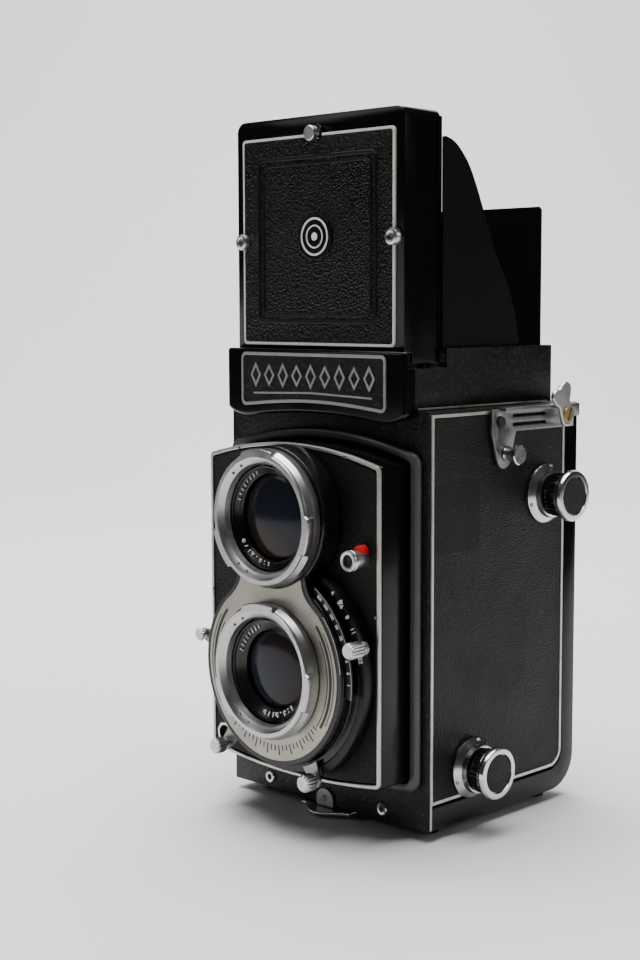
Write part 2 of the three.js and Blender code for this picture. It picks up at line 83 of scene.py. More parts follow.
# ---- materials ----
class Nodes:
    """A small helper for one procedural material."""

    def __init__(self, name, **sockets):
        self.material = bpy.data.materials.new(name)
        self.material.use_nodes = True
        self.tree = self.material.node_tree
        self.shader = self.tree.nodes["Principled BSDF"]
        for key, value in sockets.items():
            self.shader.inputs[key.replace("_", " ")].default_value = value
        self.coords = self.tree.nodes.new("ShaderNodeTexCoord").outputs["Object"]

    def node(self, kind, **sockets):
        made = self.tree.nodes.new("ShaderNode" + kind)
        for key, value in sockets.items():
            made.inputs[key.replace("_", " ")].default_value = value
        return made

    def link(self, source, target):
        self.tree.links.new(source, target)

    def noise(self, scale, detail=4.0, rough=0.55, stretch=None):
        """Soft noise from 0 to 1; stretch scales it along each axis."""
        texture = self.node("TexNoise", Scale=scale, Detail=detail, Roughness=rough)
        source = self.coords
        if stretch:
            mapping = self.node("Mapping")
            mapping.inputs["Scale"].default_value = stretch
            self.link(source, mapping.inputs["Vector"])
            source = mapping.outputs[0]
        self.link(source, texture.inputs["Vector"])
        return texture.outputs["Fac"]

    def cells(self, scale, feature="F1"):
        """The distance to the nearest of many random spots."""
        texture = self.node("TexVoronoi", Scale=scale)
        texture.feature = feature
        self.link(self.coords, texture.inputs["Vector"])
        return texture.outputs["Distance"]

    def ramp(self, source, low, high, start=0.0, end=1.0):
        """The source's range from low to high, spread over start to end."""
        ramp = self.node("MapRange")
        ramp.inputs["From Min"].default_value = low
        ramp.inputs["From Max"].default_value = high
        ramp.inputs["To Min"].default_value = start
        ramp.inputs["To Max"].default_value = end
        self.link(source, ramp.inputs["Value"])
        return ramp.outputs[0]

    def colour(self, source, low, high):
        """The base colour runs from low to high as the source goes from 0 to 1."""
        mix = self.node("Mix")
        mix.data_type = "RGBA"
        mix.inputs[6].default_value = (*low, 1)
        mix.inputs[7].default_value = (*high, 1)
        self.link(source, mix.inputs["Factor"])
        self.link(mix.outputs[2], self.shader.inputs["Base Color"])

    def rough(self, source, low, high):
        """The roughness runs from low to high over the middle of a noise."""
        self.link(self.ramp(source, 0.3, 0.7, low, high), self.shader.inputs["Roughness"])

    def bump(self, *layers):
        """Each layer is (height, strength, distance in millimetres)."""
        normal = None
        for height, strength, distance in layers:
            bump = self.node("Bump", Strength=strength, Distance=distance * MM)
            self.link(height, bump.inputs["Height"])
            if normal:
                self.link(normal, bump.inputs["Normal"])
            normal = bump.outputs[0]
        self.link(normal, self.shader.inputs["Normal"])
        return self.material


def leather(name, pebble, depth, tone, shine=0.2, rough=0.5):
    """Pebbled leather: cells as bumps, and bright flecks in the colour that are painted glints."""
    m = Nodes(name, Specular_IOR_Level=shine)
    grain = m.cells(pebble)
    fine = m.noise(2600)
    patches = m.noise(60, 6)
    # Bright flecks in the colour: painted glints on the pebbles.
    wear_and_glints = m.ramp(m.noise(620, 8, 0.75), 0.58, 0.74)
    dark = tuple(c * 0.55 for c in tone)
    m.colour(wear_and_glints, dark, tuple(c * 9 for c in tone))
    m.rough(patches, rough - 0.08, rough + 0.08)
    return m.bump((grain, 1.0, depth), (fine, 0.3, 0.05), (patches, 0.25, 0.15))


def enamel(name, tone=(0.0022, 0.0022, 0.0023), rough=0.10, shine=0.26):
    """Black stove enamel with smears and a few fine scratches."""
    m = Nodes(name, Specular_IOR_Level=shine)
    smear = m.noise(45, 8, 0.65)
    scratch = m.ramp(m.noise(420, 10, 0.7, (1, 1, 0.15)), 0.68, 0.75)
    m.colour(scratch, tone, (0.035, 0.034, 0.033))
    m.rough(smear, rough, rough + 0.16)
    return m.bump((m.noise(500, 3), 0.05, 0.06))


def wrinkle(name, scale=900, tone=(0.003, 0.003, 0.003)):
    """Black paint that dried in fine wrinkles, its colour lighter on the fold crests as a painted highlight.
    """
    m = Nodes(name, Specular_IOR_Level=0.26)
    folds = m.noise(scale, 2, 0.5)
    coarse = m.cells(scale * 0.8, "SMOOTH_F1")
    # Lighter colour on the crests of the folds: a painted highlight.
    m.colour(m.ramp(folds, 0.56, 0.72), tone, tuple(c * 8 for c in tone))
    m.rough(m.noise(80), 0.38, 0.55)
    return m.bump((folds, 0.9, 0.22), (coarse, 0.5, 0.15))


def metal(name, tone, rough, grime, stretch=None):
    """Plated metal, darker where grime sits; stretch draws the fine lines out along one axis."""
    m = Nodes(name, Metallic=1.0)
    dirt = m.ramp(m.noise(160, 8, 0.7), 0.52, 0.72, 0, grime)
    m.colour(dirt, tone, tuple(c * 0.42 for c in tone))
    m.rough(m.noise(120, 6, 0.6), rough, rough + 0.14)
    hair = m.noise(900, 4, 0.6, stretch or (1, 1, 1))
    return m.bump((hair, 0.12, 0.04))


def matt(name, tone, rough=0.55):
    """Plain paint or blackened metal."""
    m = Nodes(name, Specular_IOR_Level=0.4)
    m.colour(m.noise(300, 6), tone, tuple(c * 1.6 + 0.002 for c in tone))
    m.rough(m.noise(90), rough - 0.08, rough + 0.1)
    return m.bump((m.noise(1500), 0.15, 0.05))


def glass(name, tone, rough):
    """Coated glass seen against the dark behind it."""
    m = Nodes(name, IOR=1.5, Specular_IOR_Level=0.2)
    m.colour(m.ramp(m.noise(55, 2), 0.4, 0.6), tone, (tone[2], tone[1] * 0.9, tone[0] * 0.8))
    m.rough(m.noise(60), rough, rough + 0.03)
    return m.bump((m.noise(40), 0.02, 0.02))


PEBBLE = leather("leather_pebble", 1500, 0.4, (0.0025, 0.0024, 0.0023), 0.24, 0.3)
FINE = leather("leather_fine", 2300, 0.16, (0.0055, 0.0053, 0.005), 0.2, 0.42)
SMOOTH = leather("leather_rubbed", 2600, 0.03, (0.006, 0.006, 0.006))
ENAMEL = enamel("enamel_black")
SATIN_BLACK = enamel("enamel_satin", (0.004, 0.004, 0.0042), 0.3, 0.3)
FLAP = enamel("enamel_flap", (0.0015, 0.0015, 0.0015), 0.45, 0.12)
RELIEF = leather("leather_relief", 2600, 0.02, (0.004, 0.004, 0.004))
WRINKLE = wrinkle("wrinkle_paint")
CRACKLE = wrinkle("wrinkle_body", 1200, (0.0045, 0.0045, 0.0047))
GREY = matt("grey_satin", (0.045, 0.046, 0.047), 0.36)
CHROME = metal("chrome_bright", (0.60, 0.60, 0.61), 0.14, 0.3)
SATIN = metal("chrome_satin", (0.56, 0.56, 0.55), 0.26, 0.35)
NICKEL = metal("nickel_line", (0.56, 0.53, 0.48), 0.36, 0.6)
RINGS = metal("chrome_ring", (0.46, 0.46, 0.46), 0.26, 0.3, (1, 0.2, 1))
CHAMPAGNE = metal("nickel_plate", (0.36, 0.335, 0.29), 0.36, 0.2)
STEEL = metal("shoe_steel", (0.25, 0.245, 0.24), 0.32, 0.6)
BRASS = metal("brass_screw", (0.42, 0.30, 0.13), 0.34, 0.8)
MATT = matt("black_matt", (0.008, 0.008, 0.008))
GLOSS = matt("black_gloss", (0.0025, 0.0025, 0.0025), 0.24)
INK = matt("ink_white", (0.62, 0.62, 0.58), 0.5)
CREAM = matt("line_cream", (0.55, 0.53, 0.47), 0.45)
LINE = matt("line_black", (0.012, 0.011, 0.01), 0.4)
RED = matt("paint_red", (0.40, 0.006, 0.006), 0.35)
PLATE_GREY = metal("plate_grey", (0.40, 0.40, 0.39), 0.42, 0.4)
LENS = glass("lens_coated", (0.010, 0.013, 0.021), 0.10)
DEEP = glass("lens_inner", (0.03, 0.035, 0.05), 0.08)
SCREEN = glass("screen_ground", (0.32, 0.34, 0.34), 0.35)
MIRROR = metal("mirror_silver", (0.86, 0.87, 0.88), 0.03, 0.05)


# ---- pieces ----
def finish_piece(obj, body, material, *nodes):
    """Gives a piece its material, its body and the frame nodes it stands for."""
    obj.data.materials.clear()
    obj.data.materials.append(material)
    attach(obj, body)
    if nodes:
        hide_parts(*nodes)
    return obj


def new_object(name, data):
    obj = bpy.data.objects.new(name, data)
    bpy.context.scene.collection.objects.link(obj)
    return obj


def shade(obj, degrees):
    """Smooth shading, with edges sharper than the angle left crisp."""
    for polygon in obj.data.polygons:
        polygon.use_smooth = True
    obj.data.set_sharp_from_angle(angle=math.radians(degrees))


def baked(obj):
    """Applies the object's modifiers and turns it into a plain mesh."""
    depsgraph = bpy.context.evaluated_depsgraph_get()
    mesh = bpy.data.meshes.new_from_object(obj.evaluated_get(depsgraph), depsgraph=depsgraph)
    if obj.type == "MESH":
        obj.modifiers.clear()
        obj.data = mesh
        return obj
    made = new_object(obj.name + "_mesh", mesh)
    made.matrix_world = obj.matrix_world
    name = obj.name
    bpy.data.objects.remove(obj)
    made.name = name
    return made


def soften(node, body, material, width, segments=2):
    """The CAD shape of a node with its edges rounded over."""
    source = frame["nodes"][node]
    bm = bmesh.new()
    bm.from_mesh(source.data)
    bm.transform(source.matrix_world)
    bmesh.ops.remove_doubles(bm, verts=bm.verts, dist=1e-6)
    bmesh.ops.dissolve_limit(bm, angle_limit=math.radians(1), verts=bm.verts, edges=bm.edges)
    mesh = bpy.data.meshes.new(node + "_fine")
    bm.to_mesh(mesh)
    bm.free()
    obj = new_object(node + "_fine", mesh)
    bevel = obj.modifiers.new("round", "BEVEL")
    bevel.width = width * MM
    bevel.segments = segments
    bevel.limit_method = "ANGLE"
    bevel.angle_limit = math.radians(35)
    obj = baked(obj)
    shade(obj, 40)
    return finish_piece(obj, body, material, node)


# Each matrix turns a lathe's own axis, its third, onto the camera's.
AXES = {
    "x": Matrix(((0, 0, 1), (1, 0, 0), (0, 1, 0))),
    "y": Matrix(((1, 0, 0), (0, 0, 1), (0, 1, 0))),
    "z": Matrix(((1, 0, 0), (0, 1, 0), (0, 0, 1))),
}


def lathe(name, body, material, profile, axis, at, nodes, segments, ribs=None, sharp=32):
    """Turns [radius, distance] pairs about an axis through at. ribs(i, angle) scales a radius."""
    bm = bmesh.new()
    turn = AXES[axis]
    offset = Vector(at)
    rings = []
    for i, (radius, along) in enumerate(profile):
        if radius == 0:
            rings.append([bm.verts.new(place(*(turn @ Vector((0, 0, along)) + offset)))])
            continue
        ring = []
        for k in range(segments):
            a = 2 * math.pi * k / segments
            r = radius * (ribs(i, a) if ribs else 1)
            spot = turn @ Vector((r * math.cos(a), r * math.sin(a), along)) + offset
            ring.append(bm.verts.new(place(*spot)))
        rings.append(ring)
    pairs = list(zip(rings, rings[1:]))
    if profile[0][0] > 0:
        pairs.append((rings[-1], rings[0]))
    for one, two in pairs:
        for k in range(segments):
            n = (k + 1) % segments
            if len(one) == 1:
                bm.faces.new((one[0], two[k], two[n]))
            elif len(two) == 1:
                bm.faces.new((one[k], two[0], one[n]))
            else:
                bm.faces.new((one[k], two[k], two[n], one[n]))
    bmesh.ops.recalc_face_normals(bm, faces=bm.faces)
    mesh = bpy.data.meshes.new(name)
    bm.to_mesh(mesh)
    bm.free()
    obj = new_object(name, mesh)
    shade(obj, sharp)
    return finish_piece(obj, body, material, *nodes)


def rod(r, start, end):
    """The profile of a plain solid bar."""
    return [(0, start), (r, start), (r, end), (0, end)]


def mirrored(half, middle=()):
    """A symmetrical profile from its right half and what lies in the middle."""
    return [(r, -x) for r, x in reversed(half)] + list(middle) + half


# Which way across, up and out point on each face of the camera.
FACES = {
    "front": (Vector((1, 0, 0)), Vector((0, 0, 1)), Vector((0, -1, 0))),
    "right": (Vector((0, 1, 0)), Vector((0, 0, 1)), Vector((1, 0, 0))),
    "left": (Vector((0, -1, 0)), Vector((0, 0, 1)), Vector((-1, 0, 0))),
    "back": (Vector((-1, 0, 0)), Vector((0, 0, 1)), Vector((0, 1, 0))),
    "under": (Vector((-1, 0, 0)), Vector((0, 1, 0)), Vector((0, 0, -1))),
}


def curve_spline(curve, points):
    """Adds a closed outline in millimetres to a curve."""
    spline = curve.splines.new("POLY")
    spline.points.add(len(points) - 1)
    for spot, (u, v) in zip(spline.points, points):
        spot.co = (u * MM, v * MM, 0, 1)
    spline.use_cyclic_u = True


def oriented(obj, face, origin):
    """Turns a flat mesh onto a face of the camera, with its own origin at the given point."""
    matrix = Matrix(FACES[face]).transposed().to_4x4()
    matrix.translation = place(*origin)
    obj.data.transform(matrix)


def plate(name, body, material, loops, face, origin, thick, nodes, edge):
    """A flat plate from closed outlines in millimetres, holes too; its back is on origin, edge rounds it."""
    curve = bpy.data.curves.new(name, "CURVE")
    curve.dimensions = "2D"
    curve.fill_mode = "BOTH"
    curve.extrude = max(thick / 2 - edge, 0.01) * MM
    curve.bevel_depth = edge * MM
    curve.bevel_resolution = 1
    curve.offset = -edge * MM
    for loop in loops:
        curve_spline(curve, loop)
    obj = baked(new_object(name, curve))
    obj.data.transform(Matrix.Translation((0, 0, thick / 2 * MM)))
    oriented(obj, face, origin)
    shade(obj, 40)
    return finish_piece(obj, body, material, *nodes)


def bead(name, body, material, points, face, origin, width, height):
    """A raised line along a closed outline in millimetres."""
    curve = bpy.data.curves.new(name, "CURVE")
    curve.dimensions = "3D"
    curve.bevel_depth = width / 2 * MM
    curve.bevel_resolution = 2
    curve_spline(curve, points)
    obj = baked(new_object(name, curve))
    obj.data.transform(Matrix.Diagonal((1, 1, height / width, 1)))
    oriented(obj, face, origin)
    shade(obj, 60)
    return finish_piece(obj, body, material)


def label(name, body, material, words, size, face, origin, turn, raised):
    """Generic dial numbers, a fraction of a millimetre proud of the face."""
    text = bpy.data.curves.new(name, "FONT")
    text.body = words
    text.size = size * MM
    text.align_x = "CENTER"
    text.align_y = "CENTER"
    text.extrude = raised / 2 * MM
    text.offset = size * 0.022 * MM
    obj = baked(new_object(name, text))
    obj.data.transform(Matrix.Rotation(turn, 4, "Z"))
    oriented(obj, face, origin)
    return finish_piece(obj, body, material)


def ring_labels(name, body, material, words, size, face, centre, r, start, step, raised):
    """Numbers and signs set one by one round a centre, tops outwards; start and step in degrees."""
    across, up, _ = FACES[face]
    for k, sign in enumerate(words):
        a = math.radians(start + step * k)
        spot = Vector(centre) + across * r * math.cos(a) + up * r * math.sin(a)
        label(f"{name}_{k}", body, material, sign, size, face, spot, a - math.pi / 2, raised)


def arc(cx, cz, r, start, end, steps):
    """Points along a circle from start to end, in degrees."""
    step = math.radians(end - start) / steps
    first = math.radians(start)
    angles = [first + step * i for i in range(steps + 1)]
    return [(cx + r * math.cos(a), cz + r * math.sin(a)) for a in angles]


def rounded(u0, u1, v0, v1, r):
    """A rectangle with round corners."""
    corners = [(u1 - r, v0 + r, -90), (u1 - r, v1 - r, 0), (u0 + r, v1 - r, 90), (u0 + r, v0 + r, 180)]
    return [p for u, v, a in corners for p in arc(u, v, r, a, a + 90, 6)]


def bowed(hw, low, high, arch, dip, inset=0.0, corner=1.6):
    """The front standard's outline: top and bottom edges that bow outwards, with round corners."""
    w, top, bottom = hw - inset, high - inset, low + inset
    r = corner
    reach = w - r
    steps = 20
    along = [-reach + 2 * reach * i / steps for i in range(steps + 1)]
    low_edge = [(x, bottom - dip * (1 - (x / w) ** 2)) for x in along]
    high_edge = [(x, top + arch * (1 - (x / w) ** 2)) for x in reversed(along)]
    low_y, high_y = low_edge[0][1], high_edge[0][1]
    points = low_edge + arc(reach, low_y + r, r, -75, 0, 6)
    points += arc(reach, high_y - r, r, 0, 75, 6) + high_edge
    points += arc(-reach, high_y - r, r, 105, 180, 6)
    return points + arc(-reach, low_y + r, r, 180, 255, 6)


def screw(name, body, face, origin, r, material=SATIN, slot_turn=0.6):
    """A screw: a round head with a dark slot across it."""
    thick = 0.55
    plate(name, body, material, [arc(0, 0, r, 0, 345, 23)], face, origin, thick, (), 0.18)
    out = Vector(origin) + FACES[face][2] * (thick - 0.03)
    c, s = math.cos(slot_turn), math.sin(slot_turn)
    half, thin = r * 0.86, r * 0.13
    bar = [(half * c - thin * s, half * s + thin * c), (-half * c - thin * s, -half * s + thin * c),
           (-half * c + thin * s, -half * s - thin * c), (half * c + thin * s, half * s - thin * c)]
    plate(name + "_slot", body, LINE, [bar], face, tuple(out), 0.06, (), 0.005)


# ---- the body ----
CASE_SIDE = 38.0


def side_outline(y0, y1, z0, z1, corner):
    """A side panel's outline: one round corner, low at the back."""
    return [(y0, z0)] + arc(y1 - corner, z0 + corner, corner, -90, 0, 10) + [(y1, z1), (y0, z1)]


def build_body():
    """The casing, the grey ledge round the standard, and what sits inside the body."""
    soften("body_casing", "body", CRACKLE, 0.4)
    ledge = [bowed(corner=3.6, **LEDGE), bowed(inset=-0.5, corner=1.8, **STANDARD)]
    plate("front_ledge_fine", "body", GREY, ledge, "front", (0, -0.3, 0), 2.3, ("front_ledge",), 0.9)
    soften("hood_base", "body", WRINKLE, 0.4)
    soften("film_gate", "body", MATT, 0.2)
    soften("focusing_screen", "body", SCREEN, 0.15)
    soften("reflex_mirror", "body", MIRROR, 0.15)
    for node in ("roller_upper", "roller_lower"):
        low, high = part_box(node)
        y = (low[1] + high[1]) / 2 / MM + FRAME_Y
        z = (low[2] + high[2]) / 2 / MM - FOOT_H
        profile = mirrored([(2, 2), (2, 31.6), (1.6, 32), (0, 32)], [(1.8, 0)])
        lathe(node + "_fine", "body", SATIN, profile, "x", (0, y, z), (node,), 32)


def build_side_panels():
    """The leather panels and the nickel lines round them."""
    for side, face in ((1, "right"), (-1, "left")):
        node = "side_leather_" + face
        outline = [(side * y, z) for y, z in side_outline(1.7, 57.7, 8.5, 111.6, 4.2)]
        origin = (side * (CASE_SIDE + 0.2), 0, 0)
        plate(node + "_panel", "body", FINE, [outline], face, origin, 0.45, (node,), 0.12)
        line = [(side * y, z) for y, z in side_outline(0.75, 58.7, 7.4, 112.6, 5.0)]
        inner = [(side * y, z) for y, z in side_outline(1.55, 57.8, 8.3, 111.8, 4.2)]
        origin = (side * (CASE_SIDE + 0.05), 0, 0)
        plate("side_trim_" + face, "body", NICKEL, [line, inner], face, origin, 0.7, (), 0.12)
    front_line = [(0.75, 0.4), (1.5, 0.4), (1.5, 7.6), (0.75, 7.6)]
    plate("corner_line", "body", NICKEL, [front_line], "right", (CASE_SIDE + 0.05, 0, 0), 0.5, (), 0.1)
    patch = rounded(1.9, 20.6, 75.2, 94.2, 2.6)
    plate("rubbed_patch", "body", SMOOTH, [patch], "right", (CASE_SIDE + 0.55, 0, 0), 0.12, (), 0.03)


def build_front_screws():
    """The two ring screws and the latch catch under the front standard."""
    for name, x, z in (("front_screw_left", -22.9, 3.2), ("front_screw_right", 21.8, 3.2)):
        collar = [(0.9, -0.5), (1.5, -0.6), (1.8, -0.4), (1.9, 0), (0.9, 0)]
        lathe(name, "body", CHROME, collar, "y", (x, 0, z), (), 40)
        lathe(name + "_hole", "body", MATT, rod(0.9, -0.2, 0), "y", (x, 0, z), (), 24)
    tab = [(-3.3, -0.5), (3.3, -0.5)] + arc(0, 1.3, 3.3, 0, 180, 18)
    plate("latch_catch", "body", STEEL, [tab], "front", (0, -0.05, 0), 0.7, (), 0.2)
    rivet = [(0, -1.05), (0.5, -1.05), (0.8, -0.8), (0.8, 0), (0, 0)]
    lathe("latch_rivet", "body", BRASS, rivet, "y", (0, -0.1, 1.7), (), 24)


def plate_field(inset):
    """The name plate's inner field: round corners and a lower edge that arches up."""
    u, top, low, r = 28.0 - inset, 128.2 - inset, 113.0 + inset, 1.8 - inset
    bow = [(-u + r + (2 * u - 2 * r) * i / 20, low + 1.6 * math.sin(math.pi * i / 20)) for i in range(21)]
    points = bow + arc(u - r, low + r, r, -70, 0, 5) + arc(u - r, top - r, r, 0, 90, 6)
    return points + arc(-u + r, top - r, r, 90, 180, 6) + arc(-u + r, low + r, r, 180, 250, 5)


def lozenge(x, z, wide, tall):
    """A diamond round (x, z); wide and tall are measured from its middle."""
    return [(x, z - tall), (x + wide, z), (x, z + tall), (x - wide, z)]


def build_name_plate():
    """The name plate over the viewing lens, with a plain ornament instead of a name."""
    soften("name_plate", "body", ENAMEL, 1.5, 6)
    ground = (0, -5.3, 0)
    plate("plate_ground", "body", WRINKLE, [plate_field(0.4)], "front", ground, 0.3, (), 0.05)
    line = [plate_field(0.0), plate_field(0.85)]
    plate("plate_line", "body", PLATE_GREY, line, "front", ground, 0.55, (), 0.12)
    face = (0, -5.55, 0)
    count, pitch, z, hollow = 9, 5.5, 121.85, 0.62
    for k in range(count):
        x = pitch * (k - count // 2)
        tall = 3.55 - 0.35 * (k % 2)
        outline = [lozenge(x, z, 2.1, tall), lozenge(x, z, 2.1 * hollow, tall * hollow)]
        plate(f"plate_lozenge_{k}", "body", PLATE_GREY, outline, "front", face, 0.25, (), 0.06)
    rule = [(-23, 116.4), (0, 117.1), (23, 116.4), (23, 116.9), (0, 117.6), (-23, 116.9)]
    plate("plate_rule", "body", PLATE_GREY, [rule], "front", face, 0.2, (), 0.05)


def knurl(rows, count, depth):
    """Ribs on the given profile rows only."""
    def scale(i, angle):
        return 1 + depth * (0.5 + 0.5 * math.cos(count * angle)) if i in rows else 1
    return scale


def build_spool_knob(name, body, at, end):
    """A pull-out knob on the right side whose outer face is at end, and the fixed cover it stands on."""
    y, z = at
    knob = "spool_knob_" + name
    pin = [(0, 28.5), (2, 28.5), (2.4, 29), (2.4, 43), (0, 43)]
    lathe(knob + "_pin", body, SATIN, pin, "x", (0, y, z), (), 32)
    barrel = [(0, 43), (5.6, 43), (5.75, 43.2), (5.75, end - 2.7), (5.6, end - 2.4), (0, end - 2.4)]
    lathe(knob + "_barrel", body, GLOSS, barrel, "x", (0, y, z), (), 192, knurl((2, 3), 30, 0.07))
    rim = [(0, -2.5), (6.2, -2.5), (6.9, -2.2), (7.2, -1.6), (7.2, -0.7), (6.9, -0.15), (6.4, 0), (5.5, 0),
           (5.3, -0.5), (0, -0.5)]
    profile = [(r, end + x) for r, x in rim]
    lathe(knob + "_rim", body, CHROME, profile, "x", (0, y, z), (knob,), 96)
    disc = [(0, end - 0.55), (5.2, end - 0.55), (5.2, end - 0.2), (4.6, end - 0.12), (0, end - 0.12)]
    lathe(knob + "_disc", body, FINE, disc, "x", (0, y, z), (), 64)
    flange = [(4.6, 38.9), (8.4, 38.9), (8.4, 39.5), (8.0, 40.0), (7.3, 40.5), (6.8, 41), (6.6, 42.4),
              (6.2, 42.5), (4.6, 42.5)]
    cover = "knob_flange_" + name
    lathe(cover + "_fine", "body", CHROME, flange, "x", (0, y, z), (cover,), 96)
    screw_ring = 7.55
    for k in range(3):
        a = math.radians(200 + 120 * k)
        spot = (39.75, y + screw_ring * math.cos(a), z + screw_ring * math.sin(a))
        screw(f"{knob}_screw_{k}", "body", "right", spot, 0.8)


def build_advance():
    """The film advance knob."""
    y, z = KNOB_UP
    lathe("advance_shaft", "advance", SATIN, rod(2.4, -28.5, -40.2), "x", (0, y, z), (), 32)
    head = [(0, -40.1), (9.7, -40.1), (10.1, -40.5), (10.1, -48.2), (9.8, -48.9), (9.2, -49.3),
            (7.6, -49.3), (7.3, -48.9), (0, -48.9)]
    ribs = knurl((2, 3), 48, 0.035)
    lathe("advance_knob_fine", "advance", SATIN, head, "x", (0, y, z), ("advance_knob",), 240, ribs)
    cap = [(0, -48.8), (7.2, -48.8), (7.2, -49.1), (6.6, -49.25), (0, -49.25)]
    lathe("advance_cap", "advance", GLOSS, cap, "x", (0, y, z), (), 64)


def build_focus():
    """The focus knob with its distances in metres."""
    y, z = FOCUS
    lathe("focus_shaft", "focus", SATIN, rod(2.8, -28.5, -39.4), "x", (0, y, z), (), 32)
    skirt = [(0, -39.3), (13.2, -39.3), (13.5, -39.7), (13.5, -41), (12.2, -42.2), (0, -42.2)]
    lathe("focus_skirt", "focus", SATIN, skirt, "x", (0, y, z), (), 96)
    head = [(0, -42.1), (11.4, -42.1), (11.7, -42.4), (11.7, -48.6), (11.4, -49.2), (10.8, -49.5),
            (9.2, -49.5), (8.9, -49.0), (0, -49.0)]
    ribs = knurl((2, 3), 54, 0.03)
    lathe("focus_knob_fine", "focus", SATIN, head, "x", (0, y, z), ("focus_knob",), 240, ribs)
    cap = [(0, -48.9), (8.8, -48.9), (8.8, -49.3), (8.2, -49.45), (0, -49.45)]
    lathe("focus_cap", "focus", GLOSS, cap, "x", (0, y, z), (), 64)
    metres = ("0.9", "1", "1.2", "1.5", "2", "3", "5", "10", "20")
    ring_labels("focus_mark", "focus", LINE, metres, 1.9, "left", (-41.6, y, z), 12.9, 20, 30, 0.1)


def build_counter():
    """The frame counter, numbered from 1 to 12."""
    y, z = DIAL
    rim = [(3.7, -38.6), (4.4, -38.6), (4.4, -39.6), (4.1, -39.85), (3.7, -39.85)]
    lathe("counter_rim", "body", CHROME, rim, "x", (0, y, z), (), 64)
    front = -39.45
    disc = rod(3.5, -38.95, front)
    lathe("counter_dial_fine", "counter", GLOSS, disc, "x", (0, y, z), ("counter_dial",), 48)
    frames = [str(k) for k in range(1, 13)]
    ring_labels("counter_mark", "counter", INK, frames, 1.3, "left", (front, y, z), 2.5, 0, 30, 0.05)


def build_straps():
    """The strap peg on each side, and the plate under the left one."""
    half = [(0, 39.9), (2.2, 39.9), (1.9, 40.6), (1.9, 42.4), (2.5, 42.7), (2.8, 43.1), (2.8, 43.9),
            (2.5, 44.2), (0, 44.2)]
    for side, shift, name in ((1, 0.5, "right"), (-1, 0, "left")):
        node = "strap_peg_" + name
        peg = [(r, side * (h + shift)) for r, h in half]
        lathe(node + "_fine", "body", CHROME, peg, "x", (0, 30.5, 100.6), (node,), 64)
    outline = rounded(-34.5, -26.5, 96.4, 111, 3.5)
    plate("strap_plate_left", "body", STEEL, [outline], "left", (-38.8, 0, 0), 0.9, (), 0.2)


def build_shoe():
    """The accessory shoe with its screws and pawl, and the worn line above it."""
    soften("accessory_shoe", "body", STEEL, 0.22)
    wear_and_glints = [(0.5, 113.72), (57, 113.72), (57, 114.1), (0.5, 114.2)]
    plate("hood_base_edge", "body", NICKEL, [wear_and_glints], "right", (33.7, 0, 0), 0.25, (), 0.05)
    for k, (y, z) in enumerate(((27.8, 109.5), (58.6, 109.9))):
        screw(f"shoe_screw_{k}", "body", "right", (40.0, y, z), 1.5, BRASS if k else MATT, 0.9)
    lobes = [(50.2, 107.9), (52.6, 107.3), (54.6, 108.6), (55.0, 110.8), (54.2, 113), (53.2, 114.6),
             (53.6, 116.6), (53.4, 118.8), (51.6, 119.9), (49.6, 119.2), (48.4, 117.9), (46.2, 117.2),
             (45.4, 115.4), (46.6, 113.6), (48.4, 112.4), (49.2, 110.4)]
    outline = closed_curve(lobes)
    plate("shoe_pawl_fine", "pawl", SATIN, [outline], "right", (43.4, 0, 0), 1.2, ("shoe_pawl",), 0.35)
    screw("pawl_pivot", "pawl", "right", (44.5, 52.3, 110.6), 2.2, BRASS, 1.2)


def build_spools():
    """The two film spools."""
    end = 32.6
    flange = [(5.6, end - 0.8), (12.1, end - 0.8), (12.4, end - 0.6), (12.4, end - 0.3), (12.1, end)]
    profile = mirrored(flange + [(2.7, end)])
    for node, body, (y, z) in (("take_up_spool", "take_up", KNOB_UP), ("supply_spool", "supply", KNOB_LOW)):
        obj = lathe(node + "_fine", body, MATT, profile, "x", (-0.4, y, z), (node,), 96)


# ---- the back and the bottom ----
def build_back():
    """The back with its leather, its nickel line and the pressure plate."""
    soften("back_door", "back", ENAMEL, 0.45, 3)
    face = (0, 65.45, 0)
    outline = rounded(-34.5, 34.5, 12.5, 109, 1.5)
    plate("back_leather_panel", "back", FINE, [outline], "back", face, 0.7, ("back_leather",), 0.2)
    trim = [rounded(-35.5, 35.5, 11.5, 110, 2.2), rounded(-34.7, 34.7, 12.3, 109.2, 1.6)]
    plate("back_trim", "back", NICKEL, trim, "back", face, 0.6, (), 0.12)
    soften("pressure_plate", "back", MATT, 0.3)


def build_feet():
    """The four plastic feet."""
    profile = [(0, -3), (2.3, -3), (2.8, -2.7), (3, -2.2), (3, -0.1), (0, -0.1)]
    for name in ("foot_front_left", "foot_front_right", "foot_rear_left", "foot_rear_right"):
        low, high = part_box(name)
        x = (low[0] + high[0]) / 2 / MM
        y = (low[1] + high[1]) / 2 / MM + FRAME_Y
        obj = lathe(name + "_fine", "back", MATT, profile, "z", (x, y, 0), (name,), 48)


def build_tripod_socket():
    """The tripod socket and its thread."""
    at = (0, 36, 0)
    boss = [(3.3, -2.4), (3.6, -2.7), (7.6, -2.7), (8, -2.3), (8, -0.1), (3.3, -0.1)]
    lathe("tripod_socket_fine", "back", SATIN, boss, "z", at, ("tripod_socket",), 96)
    thread = [(3.3, -2.3)]
    for k in range(4):
        thread += [(2.9, -2.1 + 0.5 * k), (3.25, -1.85 + 0.5 * k)]
    thread += [(3.3, -0.1)]
    lathe("tripod_thread", "back", STEEL, thread, "z", at, (), 64)


def build_latch():
    """The latch plate: straight behind, and a lip with a wave in front."""
    half, steps = 9.5, 38
    across = [half - 2 * half * i / steps for i in range(steps + 1)]
    lip = [(x, -0.6 - 2.5 * (1 + math.cos(math.pi * x / half))) for x in across]
    outline = [(-8, 22), (8, 22)] + lip
    plate("back_latch_fine", "latch", CHROME, [outline], "under", (0, 0, -0.8), 1.1, ("back_latch",), 0.35)


